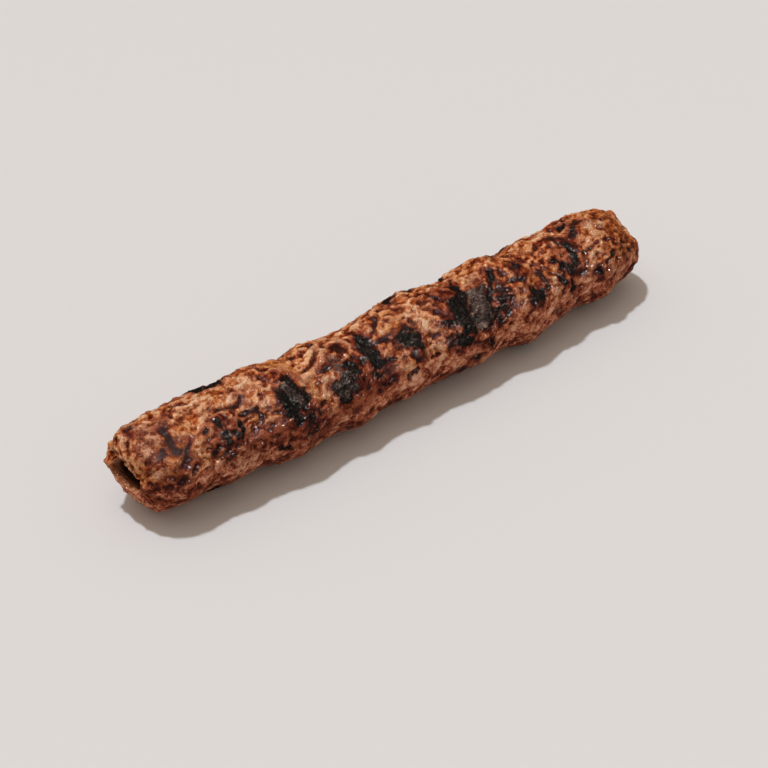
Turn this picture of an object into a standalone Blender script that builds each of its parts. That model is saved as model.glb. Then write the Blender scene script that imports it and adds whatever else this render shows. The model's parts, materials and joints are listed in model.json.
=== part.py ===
"""Kofta kebab: minced meat pressed round a flat skewer, grilled, and slid off it in one piece.

Units are metres and +Z is up. The kofta lies along X on the plane z = 0, with its open end, where the
skewer was drawn out, at -X. The origin is on that plane, below the middle of the kofta's box.
"""
import math

import bmesh
import bpy
from mathutils import Vector, noise

# Driving dimensions of the meat
OPEN_END = -0.1080          # where the meat ends at the skewer's side
CLOSED_END = 0.1090         # where it ends at the skewer's tip
OPEN_CAP_BACK = 0.009       # length over which the open end rounds in, at its upper back
OPEN_CAP_FRONT = 0.020      # the same, at its lower front
CLOSED_CAP = 0.016          # length over which the closed end rounds in
CLOSED_SLANT = 0.12         # how much further the closed end's lower front reaches
CAP_POWER = 2.2             # 2 is an ellipse, more is blunter
CAP_SHARE = 0.17            # share of the rings in each rounded end
GIRTH = 0.0136              # mean radius between the swells
WIDTH_RATIO = 1.04          # half width over mean radius
HEIGHT_RATIO = 0.96         # half height over mean radius
CENTRE_HEIGHT = 0.0150      # height of the meat's centre line
SINK = 0.0005               # how far the underside has settled flat
BACK_ANGLE = math.radians(-44)  # where round the meat a swell's place is given, from +Z towards -Y

# Swells left between the fingers of the hand that pressed the meat, from the open end on:
# (place along X at the back, shift towards the front, gain in radius, reach along X)
SWELLS = (
    (-0.086, -0.012, 0.0018, 0.0090),
    (-0.074, -0.002, 0.0016, 0.0060),
    (-0.056, 0.005, 0.0032, 0.0105),
    (-0.033, 0.005, 0.0026, 0.0070),
    (-0.003, -0.005, 0.0020, 0.0130),
    (0.012, 0.010, 0.0027, 0.0120),
    (0.039, 0.008, 0.0038, 0.0085),
    (0.064, -0.003, 0.0022, 0.0070),
    (0.084, 0.000, 0.0028, 0.0085),
)

# Slight bend, both ends towards +Y and up
BEND_LENGTH = 0.100
BEND_SIDE = 0.0022
BEND_START = -0.0011
BEND_UP = 0.0005

# Lumps of the mince
LUMP_SIZE = 0.009
LUMP_HEIGHT = 0.0006

# Straight channel left by the flat skewer
CHANNEL_HALF_WIDTH = 0.0062
CHANNEL_HALF_HEIGHT = 0.0032
CHANNEL_SIDE = 0.0007       # sideways place of its axis
CHANNEL_HEIGHT = 0.0155     # height of its axis
CHANNEL_START = -0.118      # outside the meat
CHANNEL_END = -0.066        # its blind end
CHANNEL_CAP = 0.006         # length over which its blind end rounds in
CHANNEL_CORNER = 3.2        # superellipse power of its section
MOUTH_FLARE = 0.12          # gain in size at the open end
MOUTH_REACH = 0.0045        # length over which the flare fades

SEGMENTS = 52               # facets round the meat
RINGS = 76                  # facets along it
CHANNEL_SEGMENTS = 24
CHANNEL_RINGS = 20

MEAT_COLOUR = (0.28, 0.085, 0.032, 1.0)


def clear_scene():
    """Remove every object that is in the scene."""
    for item in list(bpy.data.objects):
        bpy.data.objects.remove(item, do_unlink=True)


def new_collection(name):
    """A collection of the scene."""
    collection = bpy.data.collections.new(name)
    bpy.context.scene.collection.children.link(collection)
    return collection


def meat_material():
    """Browned minced meat."""
    material = bpy.data.materials.new("browned_meat")
    material.use_nodes = True
    shader = material.node_tree.nodes["Principled BSDF"]
    shader.inputs["Base Color"].default_value = MEAT_COLOUR
    shader.inputs["Roughness"].default_value = 0.5
    shader.inputs["Metallic"].default_value = 0.0
    return material


def reshaped_sphere(name, segments, rings, place, collection):
    """A UV sphere whose points move to place(turn, angle).

    turn runs from 0 at the sphere's -X pole to 1 at its +X pole, and angle is measured from +Z towards -Y.
    """
    mesh = bpy.data.meshes.new(name)
    build = bmesh.new()
    bmesh.ops.create_uvsphere(build, u_segments=segments, v_segments=rings, radius=1.0)
    for vertex in build.verts:
        pole, side, up = vertex.co.z, vertex.co.y, vertex.co.x
        turn = math.acos(max(-1.0, min(1.0, -pole))) / math.pi
        vertex.co = place(turn, math.atan2(-side, up))
    bmesh.ops.recalc_face_normals(build, faces=build.faces)
    build.to_mesh(mesh)
    build.free()
    item = bpy.data.objects.new(name, mesh)
    collection.objects.link(item)
    return item


def capped(turn, start, end, start_cap, end_cap):
    """Place along X and share of the full section, for a body with rounded ends."""
    near_end = min(turn, 1.0 - turn)
    if near_end >= CAP_SHARE:
        run = (turn - CAP_SHARE) / (1.0 - 2.0 * CAP_SHARE)
        return start + start_cap + run * (end - end_cap - start - start_cap), 1.0
    sweep = 0.5 * math.pi * near_end / CAP_SHARE
    inset = 1.0 - math.cos(sweep) ** (2.0 / CAP_POWER)
    along = start + start_cap * inset if turn < 0.5 else end - end_cap * inset
    return along, math.sin(sweep) ** (2.0 / CAP_POWER)


def front_share(angle):
    """0 at the upper back of the meat, 1 at its lower front."""
    return 0.5 * (1.0 - math.cos(angle - BACK_ANGLE))


def mean_radius(along, angle):
    """Radius of the meat with its swells."""
    radius = GIRTH
    for place, shift, gain, reach in SWELLS:
        offset = (along - place - shift * front_share(angle)) / reach
        radius += gain * math.exp(-offset * offset)
    return radius


def centre_line(along):
    """Sideways place and height of the meat's centre."""
    bend = (along / BEND_LENGTH) ** 2
    return BEND_START + BEND_SIDE * bend, CENTRE_HEIGHT + BEND_UP * bend


def meat_point(turn, angle):
    """A point of the meat's surface, with its underside settled flat at z = 0."""
    open_cap = OPEN_CAP_BACK + (OPEN_CAP_FRONT - OPEN_CAP_BACK) * front_share(angle)
    along, share = capped(turn, OPEN_END, CLOSED_END, open_cap, CLOSED_CAP)
    side, height = centre_line(along)
    radius = mean_radius(along, angle)
    direction = Vector((along, -math.sin(angle) * radius, math.cos(angle) * radius)) / LUMP_SIZE
    radius = share * (radius + LUMP_HEIGHT * noise.noise(direction))
    rise = HEIGHT_RATIO * radius * math.cos(angle)
    if rise < 0.0:
        gap = share * (height + SINK) - HEIGHT_RATIO * radius
        rise -= gap * math.cos(angle) ** 4
    reach = -WIDTH_RATIO * radius * math.sin(angle)
    cap_share = max(0.0, 1.0 - (CLOSED_END - along) / CLOSED_CAP)
    along -= CLOSED_SLANT * (reach + rise) * cap_share
    return Vector((along, side + reach, max(0.0, height + rise)))


def channel_point(turn, angle):
    """A point of the skewer's channel, a flat oval that widens at its mouth."""
    along, share = capped(turn, CHANNEL_START, CHANNEL_END, CHANNEL_CAP, CHANNEL_CAP)
    flare = 1.0 + MOUTH_FLARE * math.exp(-max(0.0, along - OPEN_END) / MOUTH_REACH)
    across, up = math.sin(angle), math.cos(angle)
    power = 2.0 / CHANNEL_CORNER
    width = share * flare * CHANNEL_HALF_WIDTH * math.copysign(abs(across) ** power, across)
    rise = share * flare * CHANNEL_HALF_HEIGHT * math.copysign(abs(up) ** power, up)
    return Vector((along, CHANNEL_SIDE - width, CHANNEL_HEIGHT + rise))


def centre_on_box(items):
    """Move meshes together so that the first one's box is centred over the origin."""
    corners = [vertex.co for vertex in items[0].data.vertices]
    middle_x = 0.5 * (min(c.x for c in corners) + max(c.x for c in corners))
    middle_y = 0.5 * (min(c.y for c in corners) + max(c.y for c in corners))
    for item in items:
        for vertex in item.data.vertices:
            vertex.co.x -= middle_x
            vertex.co.y -= middle_y


def cut(item, cutter):
    """Cut one closed object out of another."""
    modifier = item.modifiers.new("channel", "BOOLEAN")
    modifier.operation = "DIFFERENCE"
    modifier.solver = "EXACT"
    modifier.object = cutter
    cutter.hide_render = True
    cutter.display_type = "WIRE"


def main():
    clear_scene()
    parts = new_collection("kofta_kebab")
    cutters = new_collection("cutters")
    kofta = reshaped_sphere("kofta", SEGMENTS, RINGS, meat_point, parts)
    channel = reshaped_sphere("skewer_channel", CHANNEL_SEGMENTS, CHANNEL_RINGS, channel_point, cutters)
    centre_on_box([kofta, channel])
    kofta.data.materials.append(meat_material())
    kofta.data.shade_smooth()
    kofta.data.set_sharp_from_angle(angle=math.radians(50))
    cut(kofta, channel)


main()
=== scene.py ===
"""Looks of a grilled kofta that has been slid off its flat skewer.

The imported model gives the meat's true shape. This script gives it its crust: mince grains, smeared folds,
creases, pits, char and fat. Lengths in the shaping code are in millimetres, and places on the meat are
given as (millimetres along X from ORIGIN, degrees round it from the top towards -Y).
"""

import json
import math
import random

import bmesh
import bpy
import numpy as np
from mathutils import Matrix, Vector, noise


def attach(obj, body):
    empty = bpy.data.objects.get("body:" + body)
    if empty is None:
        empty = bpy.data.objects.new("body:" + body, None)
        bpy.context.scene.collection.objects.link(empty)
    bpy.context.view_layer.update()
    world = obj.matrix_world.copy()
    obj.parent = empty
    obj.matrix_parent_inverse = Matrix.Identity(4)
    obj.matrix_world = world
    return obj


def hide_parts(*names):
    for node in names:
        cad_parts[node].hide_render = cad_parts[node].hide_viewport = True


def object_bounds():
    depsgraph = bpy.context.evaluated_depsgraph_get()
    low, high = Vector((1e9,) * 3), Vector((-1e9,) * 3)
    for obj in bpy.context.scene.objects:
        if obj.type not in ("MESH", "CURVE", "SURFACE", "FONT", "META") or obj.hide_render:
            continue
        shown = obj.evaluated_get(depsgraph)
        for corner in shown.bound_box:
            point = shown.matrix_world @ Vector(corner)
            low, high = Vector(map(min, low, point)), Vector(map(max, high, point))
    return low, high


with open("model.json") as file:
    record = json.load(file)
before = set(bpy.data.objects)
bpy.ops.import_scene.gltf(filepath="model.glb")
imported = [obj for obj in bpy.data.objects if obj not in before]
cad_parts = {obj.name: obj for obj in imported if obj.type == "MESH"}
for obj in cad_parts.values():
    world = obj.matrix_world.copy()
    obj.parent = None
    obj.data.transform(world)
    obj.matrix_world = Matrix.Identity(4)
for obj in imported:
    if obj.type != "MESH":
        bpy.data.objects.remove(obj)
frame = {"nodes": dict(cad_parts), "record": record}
cad_low, cad_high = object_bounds()

NODE = "kofta"
MM = 1000.0  # millimetres in a metre
ORIGIN = -0.5  # the X that places along the meat are counted from
GRID = 0.57  # size of the remeshed quads
SOFTEN_STEPS = 10
HALF_WIDTH = 16.3  # the oval that angles are measured on
HALF_HEIGHT = 15.0
AXIS_HEIGHT = 14.4
GIRTH_RADIUS = 15.65  # turns an angle into a distance along the surface
SEED_STEP = (17.3, 5.7, 29.1)  # how far apart two seeds' noises are taken
HIDDEN_SEED = 11

FLOOR_SIZE = 3.0  # metres
FLOOR_COLOUR = (0.61, 0.622, 0.645, 1.0)
DAYLIGHT = (0.95, 0.97, 1.0)
LAMPLIGHT = (1.0, 0.84, 0.68)
PANEL_COLOUR = (1.0, 0.93, 0.87)
ROOM_COLOUR = (1.0, 0.82, 0.66, 1.0)
ROOM_STRENGTH = 0.5
REFLECTED_ROOM_STRENGTH = 0.05
TOWARDS_KEY = (-0.08, 0.3, 0.951)
TOWARDS_ABOVE = (-0.1, 0.35, 0.93)
PANELS = {  # lamps that show only as lights on the wet meat
    "right": (0.3, -0.82, 0.48),
    "left": (-0.8, -0.3, 0.52),
    "front": (0.04, -0.63, 0.78),
    "top": TOWARDS_KEY,
}

CAMERA_AZIMUTH = -40.18  # degrees
CAMERA_ELEVATION = 36.33
CAMERA_DISTANCE = 0.5943  # metres
CAMERA_LENS = 83.46  # on a sensor 36 mm wide
LOOK_AT = (-0.0035, 0.0036)

# The crust's colours, each by its tone: (tone, linear colour)
CRUST = [
    (0.05, (0.032, 0.003, 0.001)), (0.24, (0.137, 0.012, 0.002)), (0.4, (0.315, 0.045, 0.006)),
    (0.55, (0.488, 0.128, 0.026)), (0.72, (0.651, 0.268, 0.106)), (0.92, (0.809, 0.474, 0.284)),
]
# colours for the pale marks: bright meat and fat, partly painted highlights
BRIGHT_AND_GLINT = [
    (0.05, (0.166, 0.027, 0.007)), (0.35, (0.437, 0.115, 0.033)),
    (0.65, (0.676, 0.324, 0.16)), (0.95, (0.822, 0.525, 0.35)),
]
CLEAR = [(0.1, (0.09, 0.009, 0.001)), (0.45, (0.36, 0.079, 0.01)), (0.85, (0.62, 0.222, 0.054))]
# colours for the low side, which lies in shade: a copy of the crust's colours set to that side's look in
# shade, painted shade
SHADED_FLANK = [
    (0.05, (0.062, 0.007, 0.002)), (0.28, (0.185, 0.029, 0.011)), (0.46, (0.383, 0.096, 0.044)),
    (0.64, (0.606, 0.209, 0.11)), (0.9, (0.865, 0.42, 0.267)),
]
FILM = [(0.15, (0.034, 0.003, 0.002)), (0.5, (0.16, 0.03, 0.016)), (0.9, (0.48, 0.198, 0.12))]
BURNT = [
    (0.12, (0.02, 0.002, 0.001)), (0.36, (0.094, 0.007, 0.002)),
    (0.56, (0.198, 0.025, 0.005)), (0.82, (0.396, 0.102, 0.041)),
]
INNER = [(0.32, (0.197, 0.051, 0.019)), (0.5, (0.393, 0.141, 0.063)), (0.68, (0.612, 0.283, 0.155))]
SOOT = [(0.00, (0.006, 0.003, 0.002)), (0.4, (0.022, 0.008, 0.005)), (1.00, (0.127, 0.067, 0.047))]
GREY = [
    (0.4, (0.01, 0.005, 0.004)), (0.5, (0.048, 0.028, 0.023)),
    (0.58, (0.122, 0.079, 0.068)), (0.68, (0.38, 0.282, 0.24)),
]
# pale specks on the lighter tones: partly bare fat, partly painted glints
FAT_AND_GLINT = (0.8, 0.55, 0.42, 1.0)
# painted shade: the dark colour inside pits and creases
HOLLOW_SHADE = (0.06, 0.011, 0.004, 1.0)
# painted shade deep in the skewer's channel
CHANNEL_DEPTH_SHADE = (0.045, 0.013, 0.004, 1.0)
MASKS = (
    "char", "ash", "scorch", "relief", "hollow_shade", "pale", "amber", "purple", "channel", "low_side", "shade",
)

# Marks on the meat: (strength, half width, points of the stroke that the mark follows)
CHAR = [
    # near the open end
    (1, 0.9, (-77.8, 26), (-77.6, 33)), (1, 1.1, (-77.4, 44), (-77.2, 55)),
    (0.9, 0.7, (-83, 32), (-81.4, 30)), (0.8, 0.8, (-82.4, 60), (-81.6, 56), (-80.6, 51)),
    (0.9, 1.1, (-74.2, 47), (-73.6, 54)), (1, 0.9, (-71.4, 39), (-71.2, 47), (-72.8, 56)),
    (0.6, 1, (-79.2, 65)), (0.6, 0.8, (-80, 75), (-78.9, 76)), (0.5, 1, (-68.4, 67), (-67, 70)),
    (0.6, 0.9, (-63.4, 71), (-60.8, 73)), (0.6, 0.8, (-66, 80), (-63.2, 81)),
    (0.5, 1, (-69, 66), (-66.6, 66)), (1, 3, (-73.6, -33), (-69.4, -30), (-64.4, -35)),
    # the big one before the folds
    (1, 3.2, (-52.3, 33), (-50.6, 44)), (1, 2.2, (-51.4, 22), (-50.4, 34)),
    (1, 2.4, (-54.4, 34), (-54.4, 50)), (0.9, 1.3, (-47.6, 38), (-47.8, 50)),
    (0.85, 1.7, (-54.2, 54), (-53.6, 64)), (0.65, 1.5, (-50.2, 58), (-49.8, 72)),
    (0.5, 2, (-50.6, 86), (-46.8, 88)), (0.7, 1.4, (-60, 94), (-57, 100)),
    # after the folds
    (0.9, 2, (-36, 50), (-35, 60)), (0.85, 1.8, (-34.8, 60), (-34, 70)),
    (0.8, 2.2, (-32.4, 47), (-31.4, 60)), (0.9, 1.4, (-30, 34), (-26.8, 36)),
    (0.8, 1.8, (-29, 41), (-26.8, 43)), (0.55, 1.4, (-32.8, 28), (-32.2, 38)),
    (0.55, 1.6, (-33.6, 21), (-31.4, 25)),
    # the slanting stripe
    (1, 1.5, (-18, 2), (-18.2, 14)), (1, 2.4, (-19.3, 18), (-19.2, 28)), (1, 2.5, (-18.8, 30), (-18.6, 46)),
    (1, 1.5, (-19.6, 42), (-17.8, 50)), (0.6, 0.8, (-16, 49), (-14, 48)),
    (0.7, 1.5, (-21.6, 57), (-19.6, 64)), (0.6, 1.2, (-18.8, 75), (-17.2, 78)),
    # two lobes in the middle
    (1, 2.5, (-5.8, 34), (-4.6, 38)), (0.9, 1.4, (-3.4, 27), (-2.2, 30)), (1, 1.5, (-2, 40), (-1.9, 51)),
    # the largest, with its narrow tail over the top
    (0.8, 0.8, (25, -10), (24, -4)), (1, 1.5, (23.5, 0), (22.8, 13)), (1, 2.4, (22.6, 20), (20.6, 25)),
    (1, 3.5, (18.4, 30), (18.2, 54)), (0.7, 1.6, (15.6, 32), (15.2, 50)),
    (0.9, 1.2, (19.8, 28), (19.6, 38)), (0.9, 1.9, (12.8, 64), (16.4, 70)), (0.9, 1, (11.4, 41), (13, 43)),
    (1, 0.9, (20.2, 56), (20, 66)),
    # its grey neighbour
    (1, 3.7, (27.2, 27), (26.8, 54)), (1, 2.2, (24.6, 36), (24.4, 60)), (0.7, 1.4, (30.4, 19), (32.4, 21)),
    (1, 0.8, (37.8, 8), (36, 17)), (0.6, 0.9, (35.4, 20), (33.8, 30)), (0.9, 1, (33.6, 28), (31.2, 38)),
    (1, 0.9, (30.8, 54), (35.2, 53), (35, 42)), (0.8, 1, (32.2, 62), (32.4, 69)),
    # towards the closed end
    (1, 2.2, (48.4, 55), (51, 61)), (0.7, 1.3, (47.4, 50), (49, 60)), (0.55, 1.4, (46.8, 8), (49.4, 14)),
    (0.9, 1.2, (61.4, 56), (62.2, 61)), (0.95, 1.1, (63.6, 40), (65, 38)),
    (0.9, 1.2, (62.8, 31), (63.4, 36)), (1, 1.5, (67, 45), (67.4, 52)), (0.95, 1.4, (71.6, 16), (71.2, 42)),
    (0.6, 1.3, (67, 2), (67.6, 6)), (0.7, 1, (65.8, 60), (66.4, 68)), (0.8, 1.2, (64.6, 74), (67.4, 77)),
    (0.9, 0.7, (76.4, -14), (78.8, -12)), (1, 0.8, (76, 8), (79, 2)), (0.9, 0.7, (80.4, -5), (83.6, -1)),
    (0.85, 1, (79, 64), (79.8, 72)),
    # low on the shaded side
    (0.65, 1.6, (26.2, 88), (27.4, 94)), (0.6, 2, (19.4, 98), (21, 104)),
    (0.6, 0.9, (10.6, 78), (12.4, 80)), (0.5, 1.6, (57, 91), (59, 97)),
    # along the top edge
    (0.75, 1.7, (1.6, -30), (5, -35)), (0.8, 1.5, (46.6, -22), (49, -34)),
    (0.7, 0.8, (-26.4, -27), (-25.6, -31)), (0.8, 1, (10.8, -29), (13, -33)),
    (0.7, 0.9, (25.6, -30), (26.4, -36)),
]

# Grey crust of burnt fat, on some of the char
ASH = [
    (1, 3.6, (27.2, 26), (26.8, 52)), (0.9, 1.9, (24.8, 40), (24.8, 58)), (1, 1.2, (22, 40), (22, 64)),
    (1, 2.4, (31.6, 12), (28, 20), (24.6, 34)), (0.6, 1.6, (14.6, 46), (13.6, 64)),
    (0.7, 1.8, (30.4, 19), (32.4, 21)), (0.7, 2.2, (-33, 26), (-32, 40), (-31.4, 58)),
    (0.6, 1.8, (-36, 52), (-34.6, 66)), (0.8, 1.7, (-52.6, 27), (-52, 40), (-50.2, 49)),
    (0.6, 1.4, (-77.8, 44), (-77.6, 52)), (0.6, 1.2, (-72.8, 44), (-72.8, 50)),
    (0.5, 1.6, (-18.8, 32), (-18.6, 42)), (0.5, 1.6, (-2.4, 42), (-2, 50)),
]

# Browned meat round the char; along the slits and creases the darkening is painted shade.
SCORCH_AND_CREASE_SHADE = [
    # the rim of the top, then patches round the char
    (0.7, 2.2, (-100, -46), (-62, -44), (-20, -46)), (0.7, 2, (-14, -47), (30, -45), (60, -47), (94, -44)),
    (1, 4.4, (-32.6, 50), (-27, 56)), (1, 4.6, (-33, 66), (-20, 72)), (0.9, 3.6, (-22.6, 30), (-22.2, 52)),
    (0.9, 2, (-16, 54), (-14.8, 62)), (0.9, 4.2, (-68, 66), (-54, 70)), (1, 4, (-52, 60), (-48, 78)),
    (0.8, 3.2, (-44.8, 64), (-43, 74)), (0.9, 3, (-76.4, 30), (-76, 60)), (0.9, 3.4, (17, 4), (22.6, 14)),
    (0.9, 3, (24, 62), (30, 60)), (0.9, 2.6, (33, 44), (37, 50)), (0.8, 2.6, (66.6, 20), (68.6, 40)),
    (0.8, 2.2, (46, 46), (46, 62)), (0.7, 2.6, (78.6, 66), (82.6, 74)), (0.7, 2, (80, -12), (85, -4)),
    # painted shade along the slit near the open end
    (0.9, 0.9, (-93.9, 9), (-94.2, 26)), (0.6, 1.8, (-94.2, 30), (-93.6, 40)),
    (0.9, 1.4, (-101.6, -13), (-100.6, -7)), (0.8, 1.4, (-95, 2), (-93.6, 6)),
    (0.7, 1.3, (-102.4, 2), (-102, 8)), (0.7, 2, (-92.8, -16), (-91.8, -6)),
    (0.8, 1.6, (-89.6, -13), (-86, -8)), (0.6, 2.2, (-92.6, 58), (-89.6, 62)),
    (0.8, 2.6, (-81.6, 44), (-79.8, 50)), (0.9, 2.6, (-75.4, 36), (-72, 62)),
    (0.9, 1, (-76, 17), (-70, 18), (-65.6, 14)), (0.9, 0.9, (-69, 31), (-64, 33)),
    (0.7, 0.9, (-64.2, 32), (-64, 46)), (0.6, 2, (-69.4, 66), (-64, 70)), (0.4, 3, (-68, 80), (-60, 84)),
    (0.8, 3.4, (-58, 66), (-55, 76)), (0.9, 3.8, (-53, 62), (-46, 66)), (0.7, 4.4, (-53, 84), (-40, 92)),
    (0.9, 1.6, (-51.6, 6), (-48.4, 12), (-46.8, 26)), (0.9, 1.1, (-56.2, -18), (-55.2, -2)),
    (0.9, 1.6, (-56.6, 4), (-55.6, 12)), (1, 1.5, (-38.4, 26), (-34.8, 24)),
    (0.9, 1.2, (-36.4, 80), (-35.2, 82)), (0.8, 3, (-30, 62), (-22, 66)), (0.7, 3.6, (-36, 82), (-27, 84)),
    (0.9, 2.6, (-27, 52), (-23, 46)), (1, 2.7, (-28.2, 7), (-27.2, 15)),
    (0.8, 1.4, (-22.2, 3), (-20.6, 10)), (0.8, 3, (-20, 62), (-14.6, 70)), (0.8, 1.1, (-16, 22), (-11, 26)),
    (0.8, 1, (-12.6, 9), (-10.4, 1), (-7.4, -11)), (0.7, 1.2, (-13.4, -12), (-13.2, -1)),
    (0.8, 2.6, (-4.6, 52), (-2.4, 66)), (0.7, 1.2, (-8.6, 24), (-8.2, 42)),
    (0.8, 1.2, (-1.2, -8), (1.2, -3)), (0.9, 2.6, (12.6, 3), (20.6, 4)), (0.8, 2.2, (14, 10), (20, 12)),
    (0.8, 2.2, (11.6, 20), (13.6, 38)), (0.6, 1.6, (11.6, 50), (13.6, 62)), (0.8, 2, (36.4, 36), (37, 48)),
    (0.6, 2.4, (33, 66), (37, 72)), (0.9, 1.6, (44.8, 13), (48.6, 18), (52, 12)),
    (0.9, 1.3, (44.6, 29), (49, 32), (53.6, 29)), (0.8, 2, (47.6, 5), (51, 7)),
    (0.8, 2, (52.8, 52), (53.8, 64)), (0.8, 0.8, (55.4, 32), (55.2, 60)),
    (1, 2.4, (71.6, 8), (72.2, 24), (71.2, 44)), (0.9, 2, (66.6, 3), (69, 0)),
    (0.8, 2.2, (67, 38), (71, 50)), (0.7, 1.6, (64, 62), (68.6, 68)), (0.7, 2.4, (64.6, 76), (72, 84)),
    (0.7, 1.2, (76, 37), (80.4, 36), (84.6, 33)), (0.6, 2.4, (22, 84), (30, 96)),
    (0.6, 2.6, (-100, 62), (-94, 78)), (0.5, 2.4, (88, 84), (94, 72)), (0.6, 2, (-1.6, -30), (1, -22)),
]

# Dark film of dried juice
PURPLE = [
    (1, 3, (-101, -18), (-98, -5), (-94.6, 4)), (0.9, 3, (-101.4, 14), (-99.4, 34)),
    (0.8, 2.4, (-97.4, 12), (-96.4, 30)), (0.7, 1.4, (-103.2, 41), (-99.8, 54)),
    (0.7, 2.4, (-79.4, 16), (-77, 20)), (0.8, 1.8, (-67, -3), (-66, 28)),
    (0.7, 1.8, (-37.6, 22), (-34.6, 19)), (1, 1.7, (-33.6, 15), (-32.2, 34), (-32, 58)),
    (0.6, 1.4, (-41.4, -11), (-40.6, -9)), (0.7, 2, (-24.6, 2), (-22.6, 14)),
    (0.7, 1.2, (-13.4, -10), (-12.4, -2)), (0.8, 1.8, (13.6, 48), (17.6, 56)),
    (0.9, 2.2, (11.8, 6), (14, 9)), (0.7, 2, (-103, -12), (-100.6, -10)), (0.8, 2.4, (31.6, 6), (35, 8)),
    (0.6, 2.6, (-97, 80), (-92, 74)), (0.7, 3, (-77, 80), (-66, 88)), (0.7, 3.4, (-52, 90), (-44, 96)),
    (0.6, 2.6, (72, 52), (75, 60)), (0.6, 2.4, (86.4, 4), (88, 16)),
]

# Bright meat and bare fat on the tops of the lumps, partly painted highlights; the smallest dabs are painted
# glints.
PALE_AND_GLINTS = [
    (0.9, 1.3, (-99, 4), (-96.6, 20)), (0.8, 1.6, (-103.6, 96), (-99, 100)),
    (0.7, 1.2, (-104, 140), (-104.4, 165)), (1, 1.8, (-82.6, -8), (-81.6, -6)),
    (0.9, 2, (-78.6, -8), (-76.4, 2)), (0.8, 1.4, (-90, 2), (-86, 6)), (0.9, 2.4, (-68.6, 4), (-66, 6)),
    (1, 2.8, (-62.6, 0), (-60, 4)), (0.9, 2.4, (-62, 32), (-59, 38)), (0.8, 1.2, (-68.6, 38), (-66, 37)),
    (0.8, 1, (-58.8, 60), (-57.8, 70)), (1, 1.6, (-45.6, 26), (-40.6, 24)),
    (0.8, 1.6, (-45.4, 42), (-44.6, 48)), (0.9, 1.2, (-40.6, 44), (-41.6, 54)),
    (1, 1.6, (-39.4, 37), (-34.8, 40)), (0.9, 1, (-41.6, 70), (-37.8, 74)),
    (0.9, 1.6, (-34.6, 4), (-32.6, 8)), (0.9, 1.6, (-26.4, 22), (-23.8, 24)),
    (0.7, 2.4, (-31, -8), (-24, -6)), (1, 1.2, (-12.4, 6), (-11.4, 16)), (1, 1, (-15.4, 38), (-11.8, 41)),
    (0.8, 1, (-10, 64), (-8.4, 66)), (0.8, 1, (-8.4, 84), (-6, 88)), (0.7, 1, (-7.6, 47), (-6.4, 52)),
    (1, 3.4, (2.6, 12), (4.4, 26)), (0.7, 1.4, (4.4, 40), (6.6, 44)), (0.9, 0.9, (0.6, 60), (5.4, 60)),
    (0.9, 1.4, (7.2, 12), (8.8, 12)), (1, 0.8, (32.2, 47), (33, 48)), (0.9, 0.6, (-67.6, 70), (-66.8, 64)),
    (0.9, 0.6, (-63, 64), (-61.8, 66)), (0.8, 0.5, (-64.8, 60), (-63.6, 61)),
    (0.8, 1, (91.2, 50), (93, 50)), (0.8, 0.6, (86, 36), (88, 36)), (0.8, 1, (30.4, -1), (30.8, 4)),
    (0.6, 1.8, (41.2, 48), (41.8, 66)), (1, 1.5, (56.8, 48), (58.6, 54)), (0.9, 1, (56, 66), (56.8, 69)),
    (0.7, 1.6, (55.6, -2), (57.8, 4)), (0.7, 1, (43.6, 64), (43.4, 72)), (0.8, 2, (71.8, -6), (75, -3)),
    (0.8, 1.4, (76.8, 20), (80, 18)), (0.8, 1.4, (76.6, 44), (78.4, 46)), (0.9, 1.8, (84.6, 6), (88.4, 10)),
    (0.7, 1.4, (83.6, 20), (86.4, 26)), (0.5, 2, (-101, 56), (-96, 56)),
]

# Clear orange-brown juice and rendered fat
AMBER = [
    (1, 1.8, (-105.4, 62), (-105.4, 110)), (1, 1.6, (-105.6, 20), (-104.4, 52)),
    (1, 2, (-98.6, 56), (-93.4, 46)), (0.9, 1.5, (-95.4, 22), (-94.8, 42)),
    (0.8, 1.8, (-101.4, 66), (-96.6, 64)), (0.7, 1.6, (-92, 0), (-91.4, 12), (-91.4, 34)),
    (0.7, 1.6, (-89.4, 52), (-86.8, 58)), (0.9, 1.4, (-86.4, 60), (-84.6, 66)),
    (0.8, 2, (-86, 20), (-84.6, 36)), (0.7, 1.6, (-74, -12), (-70, -4)), (0.8, 2, (-60.6, 44), (-57.4, 60)),
    (0.7, 1.8, (-57, 26), (-56.6, 44)), (0.8, 1.6, (-54, -16), (-50, -10)), (1, 3, (-47.6, -12), (-46, 20)),
    (0.8, 1.8, (-43.8, 40), (-42.8, 58)), (0.9, 1.8, (-40.6, 76), (-37.2, 80)),
    (0.8, 1.8, (-33, -18), (-25, -10)), (0.8, 2.2, (-10, 8), (-7.4, 14)),
    (0.9, 1.6, (-9.4, 46), (-8.8, 54)), (0.7, 1.8, (-12.8, 66), (-10.4, 74)),
    (0.9, 2.8, (-5.4, -14), (-3.4, 8)), (0.7, 1.6, (8, 46), (8.6, 62)), (0.8, 2, (14.6, -16), (19.4, -10)),
    (0.9, 2.4, (28.4, -14), (34, -10)), (0.8, 2.4, (40.6, -20), (43.6, -6)), (0.8, 2, (41, 46), (43.4, 60)),
    (0.8, 2.4, (52, -14), (57, -8)), (0.8, 2, (56, 36), (60, 42)), (0.8, 2, (71, -2), (73.4, 10)),
    (0.8, 1.8, (73, 48), (76, 58)), (1, 4, (92, -14), (97, 14)), (1, 4.6, (93, 28), (98, 56)),
    (0.7, 2, (87.6, 58), (91.6, 64)),
]

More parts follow.
